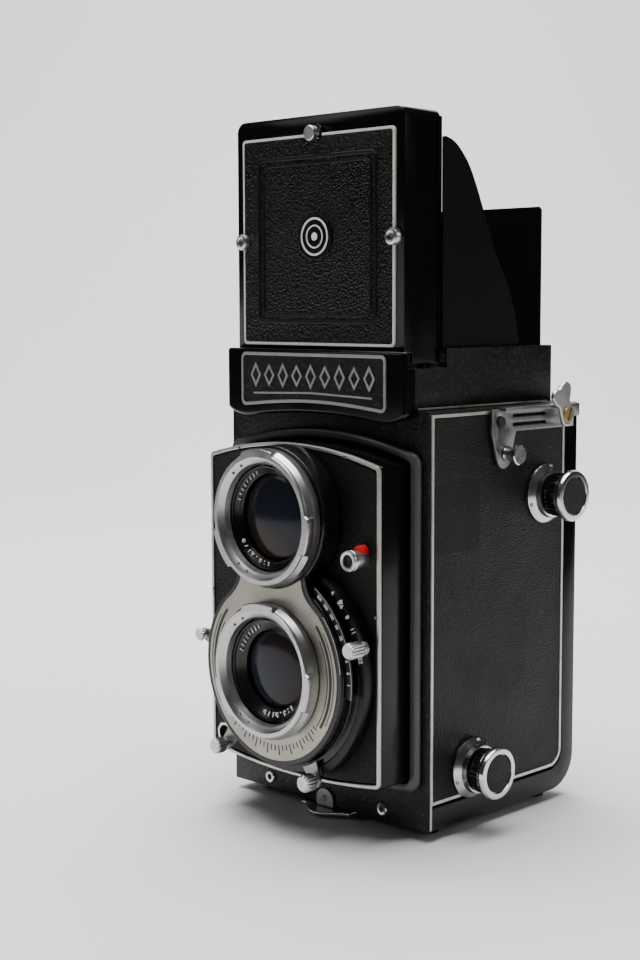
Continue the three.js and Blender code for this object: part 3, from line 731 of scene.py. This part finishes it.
# ---- the front standard ----
# Half width, bottom and top edges, and how far the top and the bottom bow out.
STANDARD = dict(hw=33, low=13.8, high=99.6, arch=4.6, dip=2.6)
LEDGE = dict(hw=36.4, low=11.4, high=101.8, arch=5.6, dip=2.6)


def build_standard():
    """The front standard with its leather, its nickel trim and the shutter housing."""
    soften("front_standard", "standard", ENAMEL, 0.5, 3)
    holes = [arc(0, z, 13.2, 0, 352, 44) for z in (VIEW_Z, TAKE_Z)]
    sheet = bowed(inset=1.4, corner=1.0, **STANDARD)
    plate("standard_leather_sheet", "standard", FINE, [sheet] + holes, "front", (0, -12.5, 0), 0.8,
          ("standard_leather",), 0.15)
    outline = [bowed(inset=0.1, **STANDARD), bowed(inset=1.05, corner=0.9, **STANDARD)]
    plate("standard_trim", "standard", NICKEL, outline, "front", (0, -12.45, 0), 1.15, (), 0.25)
    for k, (x, z) in enumerate(((-20.5, 101.6), (20.5, 101.6), (-31.9, 60), (31.9, 60))):
        screw(f"trim_screw_{k}", "standard", "front", (x, -13.5, z), 0.42, STEEL, 0.4)
    soften("shutter_housing", "standard", GLOSS, 0.6, 4)
    blades = [(4.0, -13.3), (10.4, -13.2), (10.4, -13.0), (4.0, -12.95)]
    lathe("shutter_blades_fine", "standard", MATT, blades, "y", (0, 0, TAKE_Z), ("shutter_blades",), 6)


# Where each lug of a bayonet ring starts and ends, in degrees.
LUGS = ((74, 112), (-26, 6), (194, 230))


def lug(angle):
    """1 on one of the ring's three lugs, 0 between them, with short ramps."""
    degrees = math.degrees(angle)
    ramp = 2.5
    best = 0.0
    for start, end in LUGS:
        off = abs((degrees - (start + end) / 2 + 180) % 360 - 180)
        best = max(best, min(1.0, max(0.0, ((end - start) / 2 - off) / ramp + 0.5)))
    return best


def build_ring(name, z, back):
    """A bayonet ring: a turned band with three lugs that stand out, and four small screws on its front."""
    profile = [(14.8, back), (18.7, back), (18.8, back - 0.3), (18.8, -23.3), (18.9, -23.5), (19.0, -24.9),
               (19.0, -25.5), (18.7, -25.8), (16.7, -25.8), (16.4, -25.65), (15.4, -24.6), (15.1, -24.3),
               (14.6, -22.7), (14.8, -22.3)]
    lug_rows = (5, 6, 7)

    def ribs(i, angle):
        return 0.948 + 0.052 * lug(angle) if i in lug_rows else 1
    lathe(f"{name}_fine", "standard", RINGS, profile, "y", (0, 0, z), (name,), 288, ribs, 26)
    screw_ring = 15.75
    for k, degrees in enumerate((118, 132, 236, 250)):
        a = math.radians(degrees)
        spot = (screw_ring * math.cos(a), -24.75, z + screw_ring * math.sin(a))
        screw(f"{name}_screw_{k}", "standard", "front", spot, 0.42, STEEL, a)


def build_lens(which, z, words, bore, start):
    """The mount's black barrel, the coated front glass and the marks round it."""
    barrel = [(bore, -6), (12.4, -6), (12.4, -20.9), (14.2, -20.9), (14.2, -22.3), (14.0, -22.6),
              (13.7, -22.5), (13.6, -22.0), (bore + 0.05, -20.5), (bore - 0.15, -20.3), (bore - 0.2, -19.2),
              (bore, -18.6)]
    node = "lens_barrel_" + which
    lathe(node + "_fine", "standard", GLOSS, barrel, "y", (0, 0, z), (node,), 128)
    r, bulge, edge = bore - 0.35, 1.35, -19.0
    dome = [(0, -17.2), (r, -17.2), (r, -18.9)]
    for degrees in range(9, 90, 9):
        a = math.radians(degrees)
        dome.append((r * math.cos(a), edge - bulge * math.sin(a)))
    dome.append((0, edge - bulge))
    node = "lens_glass_" + which
    lathe(node + "_fine", "standard", LENS, dome, "y", (0, 0, z), (node,), 96)
    middle = (bore + 13.7) / 2
    ring_labels("lens_number_" + which, "standard", INK, words, 2.5, "front", (0, -21.5, z), middle, start,
                -7.6, 0.3)
    build_lens_ticks(which, z, middle)


def build_lens_ticks(which, z, r):
    """Short marks on the upper left of a lens mount; every third one is shorter."""
    half = 0.14
    for k in range(8):
        a = math.radians(112 + 7 * k)
        c, s = math.cos(a), math.sin(a)
        high = 0.75 if k % 3 else 0.5
        tick = [(-half, -high), (half, -high), (half, high), (-half, high)]
        turned = [(u * s + v * c, v * s - u * c) for u, v in tick]
        spot = (r * c, -21.35, z + r * s)
        plate(f"lens_tick_{which}_{k}", "standard", INK, [turned], "front", spot, 0.3, (), 0.02)


# Radii round the taking lens, and where the shutter's face plate starts.
RIM_R = 26.4
FACE_R = 25.0
SPEEDS_R = 29.0
STOPS_R = 31.3
FACE_BACK = -20.9
FACE_THICK = 0.5


def face_outline(r, neck, flare):
    """The shutter's face: a disc whose neck narrows up to the viewing lens with hollow flanks."""
    bite_r = 19.3
    half = neck - 0.8
    top = VIEW_Z - math.sqrt(bite_r ** 2 - half ** 2)
    disc = arc(0, TAKE_Z, r, 180 - flare, 360 + flare, 90)
    x0, z0 = disc[-1]
    bend = [(neck + (x0 - neck) * (1 - i / 8) ** 2, z0 + (top - z0) * i / 8) for i in range(1, 9)]
    span = math.degrees(math.asin(half / bite_r))
    bite = arc(0, VIEW_Z, bite_r, 270 + span, 270 - span, 24)
    return disc + bend + bite + [(-x, z) for x, z in reversed(bend)]


def ring_sector(r0, r1, start, end):
    """Part of a flat ring round the taking lens."""
    return arc(0, TAKE_Z, r1, start, end, 30) + list(reversed(arc(0, TAKE_Z, r0, start, end, 30)))


def build_shutter():
    """The shutter's face plate on its black rim, with a painted highlight on the rim's right edge."""
    hole = arc(0, TAKE_Z, 16.2, 0, 355, 71)
    rim = [face_outline(RIM_R, 13.2, 42), hole]
    plate("shutter_rim", "standard", GLOSS, rim, "front", (0, -20.3, 0), 0.85, (), 0.2)
    # A thin grey sector on the right of the rim only: a painted highlight on its shiny edge.
    painted_rim_highlight = ring_sector(RIM_R - 0.25, RIM_R, 6, 41)
    plate("shutter_rim_painted_highlight", "standard", PLATE_GREY, [painted_rim_highlight], "front", (0, -21.12, 0), 0.08, (), 0.01)
    face = [face_outline(FACE_R, 11.8, 44), hole]
    plate("shutter_faceplate_fine", "standard", CHAMPAGNE, face, "front", (0, FACE_BACK, 0), FACE_THICK,
          ("shutter_faceplate",), 0.12)


def build_face_lines():
    """The decorative lines and ticks engraved on the shutter's face."""
    front = (0, FACE_BACK - FACE_THICK + 0.02, 0)
    lines = ((23.9, 0.3, -30, 33), (22.8, 0.9, -34, 40), (21.6, 0.3, -36, 30))
    for side in (0, 1):
        for k, (r, wide, start, end) in enumerate(lines):
            turn = (180 - end, 180 - start) if side else (start, end)
            sector = ring_sector(r - wide / 2, r + wide / 2, *turn)
            plate(f"face_line_{side}_{k}", "standard", LINE, [sector], "front", front, 0.06, (), 0.01)
    half = 0.55
    for k in range(27):
        degrees = -142 + 4 * k
        tall = 23.4 if k % 3 == 0 else 22.2
        tick = ring_sector(20.6, tall, degrees - half, degrees + half)
        plate(f"face_tick_{k}", "standard", LINE, [tick], "front", front, 0.05, (), 0.01)


def build_scales():
    """The speed and aperture scales beside the shutter's face, with their numbers and index."""
    speeds = ring_sector(26.0, SPEEDS_R, -8, 58)
    plate("speed_scale", "standard", SATIN_BLACK, [speeds], "front", (0, -19.2, 0), 0.5, (), 0.1)
    stops = ring_sector(SPEEDS_R, STOPS_R, -60, 60)
    plate("aperture_scale", "standard", SATIN_BLACK, [stops], "front", (0, -13.3, 0), 3.9, (), 0.2)
    line = ring_sector(SPEEDS_R - 0.35, SPEEDS_R - 0.15, -8, 58)
    plate("scale_line", "standard", PLATE_GREY, [line], "front", (0, -19.68, 0), 0.06, (), 0.01)
    words = ("500", "250", "100", "50", "25", "10", "5", "2", "1")
    centre = (0, -19.72, TAKE_Z)
    ring_labels("speed_mark", "standard", INK, words, 1.25, "front", centre, 27.75, 52, -6.5, 0.08)
    words = ("4", "5.6", "8", "11", "16", "22")
    centre = (0, -17.22, TAKE_Z)
    ring_labels("aperture_mark", "standard", INK, words, 1.9, "front", centre, 30.3, 50, -7.5, 0.08)
    index = [(22.1, 62.9), (23.2, 63.0), (23.1, 64.2), (22.5, 63.9)]
    plate("scale_index", "standard", CREAM, [index], "front", (0, -17.15, 0), 0.35, (), 0.05)


def build_lever(node, body, degrees, front, r, post_r=33.4):
    """A lever of the shutter: a flat arm from under the face and a knurled post at its end."""
    a = math.radians(degrees)
    x, z = post_r * math.cos(a), TAKE_Z + post_r * math.sin(a)
    half = math.degrees(r / post_r) + 2
    back = -17.9
    arm = arc(0, TAKE_Z, 27.3, degrees - half, degrees + half, 10)
    tip = arc(x, z, r * 0.9, degrees + 100, degrees - 100, 10)
    plate(node + "_arm", body, STEEL, [arm + tip], "front", (0, back, 0), 0.7, (), 0.12)
    profile = [(0, back), (r * 0.8, back), (r * 0.8, -18.9), (r * 0.62, -19.1), (r * 0.62, -19.6),
               (r * 0.88, -19.8), (r * 0.95, -20.0), (r * 0.95, front + 0.5), (r * 0.84, front), (0, front)]
    ribs = knurl((5, 6, 7), 16, 0.13)
    lathe(node + "_post", body, SATIN, profile, "y", (x, 0, z), (node,), 176, ribs)


def build_flash_socket():
    """The flash socket and the red collar behind it."""
    x, z = 27.2, 75.1
    ring = [(1.75, -19.5), (2.1, -19.6), (2.5, -19.6), (2.75, -19.4), (2.8, -19.0), (2.6, -18.8),
            (2.6, -18.5), (2.8, -18.3), (2.8, -17.9), (2.5, -17.6), (2.4, -13.4), (1.75, -13.4)]
    lathe("flash_socket_fine", "standard", SATIN, ring, "y", (x, 0, z), ("flash_socket",), 64)
    core = [(0, -18.6), (1.7, -18.6), (1.75, -18.4), (1.75, -13.6), (0, -13.6)]
    lathe("flash_socket_core", "standard", MATT, core, "y", (x, 0, z), (), 32)
    collar = [(0, -16.0), (1.3, -16.0), (1.6, -15.8), (1.7, -15.4), (1.7, -13.5), (0, -13.5)]
    lathe("flash_index", "standard", RED, collar, "y", (x + 0.3, 0, z + 2.1), (), 48)


def build_release_socket():
    """The cable release socket."""
    at = (-23.6, 0, 19.6)
    ring = [(2.3, -17.4), (2.9, -17.4), (3.2, -17.0), (3.2, -16.0), (2.9, -15.6), (2.9, -13.4),
            (2.3, -13.4)]
    lathe("release_socket_fine", "standard", CHROME, ring, "y", at, ("release_socket",), 64)
    lathe("release_socket_core", "standard", MATT, rod(2.3, -15.5, -13.6), "y", at, (), 32)


# ---- the hood ----
FINDER_Z = 159.2
BADGE_Z = 160
PEG_Z = 187.7
SIDES = ((-1, "left"), (1, "right"))


def finder_square(half, corner):
    """A square round the finder's middle, with round corners."""
    return rounded(-half, half, FINDER_Z - half, FINDER_Z + half, corner)


def build_lid():
    """The hood's lid with its leather and its cream line."""
    soften("hood_lid", "lid", ENAMEL, 0.8, 4)
    face = (0, LID_FRONT + 0.05, 0)
    sheet = [rounded(-28.4, 28.4, 131.2, 187, 0.8), finder_square(22.6, 1.6), arc(0, PEG_Z, 2.6, 0, 345, 23)]
    plate("lid_leather_panel", "lid", PEBBLE, sheet, "front", face, 0.8, ("lid_leather",), 0.12)
    line = [rounded(-29.1, 29.1, 130.3, 187.7, 1.2), rounded(-28.3, 28.3, 131.1, 186.9, 0.7)]
    plate("lid_frame_line", "lid", CREAM, line, "front", face, 0.75, (), 0.12)


def build_finder():
    """The sports finder's door with its embossed borders."""
    y = LID_FRONT
    door = finder_square(22.2, 1.5)
    back = (0, y + 1.0, 0)
    plate("finder_door_panel", "finder", PEBBLE, [door], "front", back, 1.7, ("finder_door",), 0.15)
    border = finder_square(22.4, 1.8)
    bead("finder_emboss_outer", "lid", RELIEF, border, "front", (0, y - 0.75, 0), 1.1, 0.6)
    border = finder_square(20.6, 2.2)
    bead("finder_emboss_inner", "finder", RELIEF, border, "front", (0, y - 0.7, 0), 0.8, 0.5)


def build_badge():
    """A plain badge of two circles and a dot."""
    ground = arc(0, BADGE_Z, 6.4, 0, 354, 59)
    plate("badge_ground", "finder", GLOSS, [ground], "front", (0, LID_FRONT - 0.65, 0), 0.45, (), 0.15)
    front = (0, LID_FRONT - 1.05, 0)
    for k, (r, wide) in enumerate(((5.2, 0.55), (3.2, 0.4))):
        ring = [arc(0, BADGE_Z, r, 0, 354, 59), arc(0, BADGE_Z, r - wide, 0, 354, 59)]
        plate(f"badge_ring_{k}", "finder", INK, ring, "front", front, 0.2, (), 0.05)
    dot = arc(0, BADGE_Z, 1.1, 0, 345, 23)
    plate("badge_dot", "finder", INK, [dot], "front", front, 0.2, (), 0.05)


def build_lid_fittings():
    """The two hollow eyelets, the peg, the thin rims beside the side flaps and the hinge pin."""
    y = LID_FRONT
    eyelet_x = 28.8
    for side, name in SIDES:
        at = (side * eyelet_x, 0, FINDER_Z)
        rivet = [(1.0, y - 2.0), (1.5, y - 2.2), (2.1, y - 1.9), (2.3, y - 1.4), (2.3, y + 0.1),
                 (1.0, y + 0.1)]
        lathe("lid_eyelet_" + name, "lid", SATIN, rivet, "y", at, (), 64)
        lathe("lid_eyelet_core_" + name, "lid", STEEL, rod(1, y - 1.4, y + 0.1), "y", at, (), 24)
    peg = [(0, y - 3.3), (1.85, y - 3.3), (2.05, y - 3.1), (2.05, y - 1.3), (1.1, y - 1.3), (1.1, y + 1.9),
           (0, y + 1.9)]
    lathe("lid_peg_fine", "peg", SATIN, peg, "y", (0, 0, PEG_Z), ("lid_peg",), 64)
    strip = [(10.4, 131), (11.47, 131), (11.47, 190.9), (10.4, 190.9)]
    for side, name in SIDES:
        outline = [(side * u, v) for u, v in strip[::side]]
        plate("lid_rim_" + name, "lid", ENAMEL, [outline], name, (side * 31.5, 0, 0), 0.83, (), 0.02)
    pin = rod(0.85, -30.8, 30.8)
    lathe("lid_hinge_pin_fine", "lid", STEEL, pin, "x", (0, 7.6, 134.1), ("lid_hinge_pin",), 32)


def build_loupe():
    """The loupe that swings off the finder door."""
    soften("loupe_frame", "loupe", SATIN, 0.2)
    y = LID_FRONT
    lens = [(0, y + 1.5), (7.6, y + 1.8), (7.6, y + 2.1), (0, y + 2.3)]
    lathe("loupe_lens_fine", "loupe", DEEP, lens, "y", (0, 0, 170.75), ("loupe_lens",), 64)


CURVE_STEPS = 5


def blend(p0, p1, p2, p3, t):
    """A point on the smooth curve from p1 to p2."""
    return tuple(0.5 * (2 * b + (c - a) * t + (2 * a - 5 * b + 4 * c - d) * t * t
                        + (3 * b - a - 3 * c + d) * t ** 3)
                 for a, b, c, d in zip(p0, p1, p2, p3))


def closed_curve(spots):
    """A smooth closed outline through the given spots."""
    n = len(spots)
    return [blend(spots[i - 1], spots[i], spots[(i + 1) % n], spots[(i + 2) % n], k / CURVE_STEPS)
            for i in range(n) for k in range(CURVE_STEPS)]


def smooth_flap(node, body, side, base):
    """A side flap with its rear edge drawn as one smooth curve; base is the height of its hinge edge."""
    hidden, front, rear = base - 0.25, 11.5, 44.4
    spots = [(11.8, 186.0), (16.5, 184.4), (21.5, 179.8), (25.1, 173.9), (28.5, 166.8), (33.4, 156.3),
             (39.0, 147.3), (42.6, 139.0), (rear, 130.8)]
    curve = []
    for i in range(len(spots) - 1):
        p0 = spots[max(i - 1, 0)]
        p1, p2 = spots[i], spots[i + 1]
        p3 = spots[min(i + 2, len(spots) - 1)]
        curve += [blend(p0, p1, p2, p3, k / CURVE_STEPS) for k in range(CURVE_STEPS)]
    outline = [(front, hidden), (front, 185.6)] + curve[1:] + [spots[-1], (rear, hidden)]
    origin = (side * 32.6 - 0.25, 0, 0)
    plate(node + "_sheet", body, FLAP, [list(reversed(outline))], "right", origin, 0.5, (node,), 0.03)


def build_flaps():
    """The three flaps of the hood."""
    smooth_flap("flap_right", "flap_right", 1, 128.9)
    smooth_flap("flap_left", "flap_left", -1, 127.9)
    sheet = [(-30.7, 126.7), (30.7, 126.7), (30.7, 168.4), (29.9, 169.2), (-29.9, 169.2), (-30.7, 168.4)]
    plate("flap_back_sheet", "flap_back", FLAP, [sheet], "back", (0, 56.95, 0), 0.5, ("flap_back",), 0.1)


# ---- the stage, the light and the camera ----
STAGE_TURN = Matrix.Rotation(math.radians(44.8), 3, "Z")


def build_stage():
    """A paper sweep: a floor that bends up into a wall behind the camera. Distances in metres."""
    m = Nodes("paper", Specular_IOR_Level=0.05)
    m.colour(m.noise(3, 3), (0.78, 0.78, 0.785), (0.81, 0.81, 0.815))
    m.rough(m.noise(8), 0.88, 0.96)
    material = m.bump((m.noise(900), 0.04, 0.05))
    front, floor_end, bend_r, wall_top = -0.42, 0.75, 0.5, 1.3
    profile = [(front, 0.0), (floor_end, 0.0)]
    for degrees in range(6, 91, 6):
        a = math.radians(degrees)
        profile.append((floor_end + bend_r * math.sin(a), bend_r - bend_r * math.cos(a)))
    profile.append((floor_end + bend_r, wall_top))
    bm = bmesh.new()
    rows = [[bm.verts.new(STAGE_TURN @ Vector((x, y, z))) for x in (-0.62, 0.75)] for y, z in profile]
    for low, high in zip(rows, rows[1:]):
        bm.faces.new((low[0], low[1], high[1], high[0]))
    mesh = bpy.data.meshes.new("paper_sweep")
    bm.to_mesh(mesh)
    bm.free()
    obj = new_object("paper_sweep", mesh)
    shade(obj, 60)
    obj.data.materials.append(material)


def area_light(name, spot, target, width, height, power):
    """A soft light; spot and target are (right, away, up) from the view's side, in metres."""
    data = bpy.data.lights.new(name, "AREA")
    data.shape = "RECTANGLE"
    data.size = width
    data.size_y = height
    data.energy = power
    obj = bpy.data.objects.new(name, data)
    obj.location = STAGE_TURN @ Vector(spot)
    aim = STAGE_TURN @ (Vector(target) - Vector(spot))
    obj.rotation_euler = aim.to_track_quat("-Z", "Y").to_euler()
    bpy.context.scene.collection.objects.link(obj)


def build_light():
    """A dim room, two soft boxes above, one on the right and a card on the left."""
    world = bpy.data.worlds.new("soft_room")
    world.use_nodes = True
    background = world.node_tree.nodes["Background"]
    background.inputs["Color"].default_value = (0.80, 0.81, 0.83, 1)
    background.inputs["Strength"].default_value = 0.045
    bpy.context.scene.world = world
    area_light("softbox_top", (-0.10, 0.10, 1.15), (0, 0.12, 0), 1.1, 0.9, 26)
    area_light("softbox_wall", (0.0, 0.35, 1.35), (0, 1.2, 0.35), 1.2, 0.5, 21)
    area_light("softbox_right", (0.95, -0.35, 0.55), (0, 0, 0.09), 0.3, 0.45, 1.5)
    area_light("card_left", (-1.0, -0.10, 0.60), (0, 0, 0.10), 0.25, 0.5, 0.8)


# The view looks at AIM from DISTANCE metres away, turned and tilted by these angles.
AZIMUTH, TILT, ROLL = (math.radians(a) for a in (44.772, 6.199, -0.175))
AIM = (-2.118, 0, 92.675)
DISTANCE = 0.4564


def build_camera():
    """The view of the object at rest."""
    data = bpy.data.cameras.new("view")
    data.sensor_fit = "VERTICAL"
    data.sensor_height = 36
    data.lens = 61.1
    level = math.cos(TILT)
    back = Vector((math.sin(AZIMUTH) * level, -math.cos(AZIMUTH) * level, math.sin(TILT)))
    obj = bpy.data.objects.new("view", data)
    obj.location = place(*AIM) + back * DISTANCE
    aim = (-back).to_track_quat("-Z", "Y").to_matrix() @ Matrix.Rotation(ROLL, 3, "Z")
    obj.rotation_euler = aim.to_euler()
    bpy.context.scene.collection.objects.link(obj)
    bpy.context.scene.camera = obj


build_camera()
build_stage()
build_light()
build_body()
build_side_panels()
build_front_screws()
build_name_plate()
build_spool_knob("upper", "pull_upper", KNOB_UP, 49.5)
build_spool_knob("lower", "pull_lower", KNOB_LOW, 48.6)
build_advance()
build_focus()
build_counter()
build_straps()
build_shoe()
build_spools()
build_back()
build_feet()
build_tripod_socket()
build_latch()
build_standard()
build_ring("bayonet_ring_view", VIEW_Z, -20.9)
build_ring("bayonet_ring_take", TAKE_Z, -21.7)
build_lens("view", VIEW_Z, "1:3.2/75", 12.1, 268)
build_lens("take", TAKE_Z, "1:3.5/75", 11.1, 312)
build_shutter()
build_face_lines()
build_scales()
build_lever("speed_lever", "speed", 18, -24.4, 2.1)
build_lever("sync_lever", "sync", 170, -20.6, 1.8, 31.2)
build_lever("aperture_lever", "aperture", 229, -23.0, 2.1)
build_lever("release_lever", "release", 296, -23.4, 2.3, 31.9)
build_flash_socket()
build_release_socket()
build_lid()
build_finder()
build_badge()
build_lid_fittings()
build_loupe()
build_flaps()
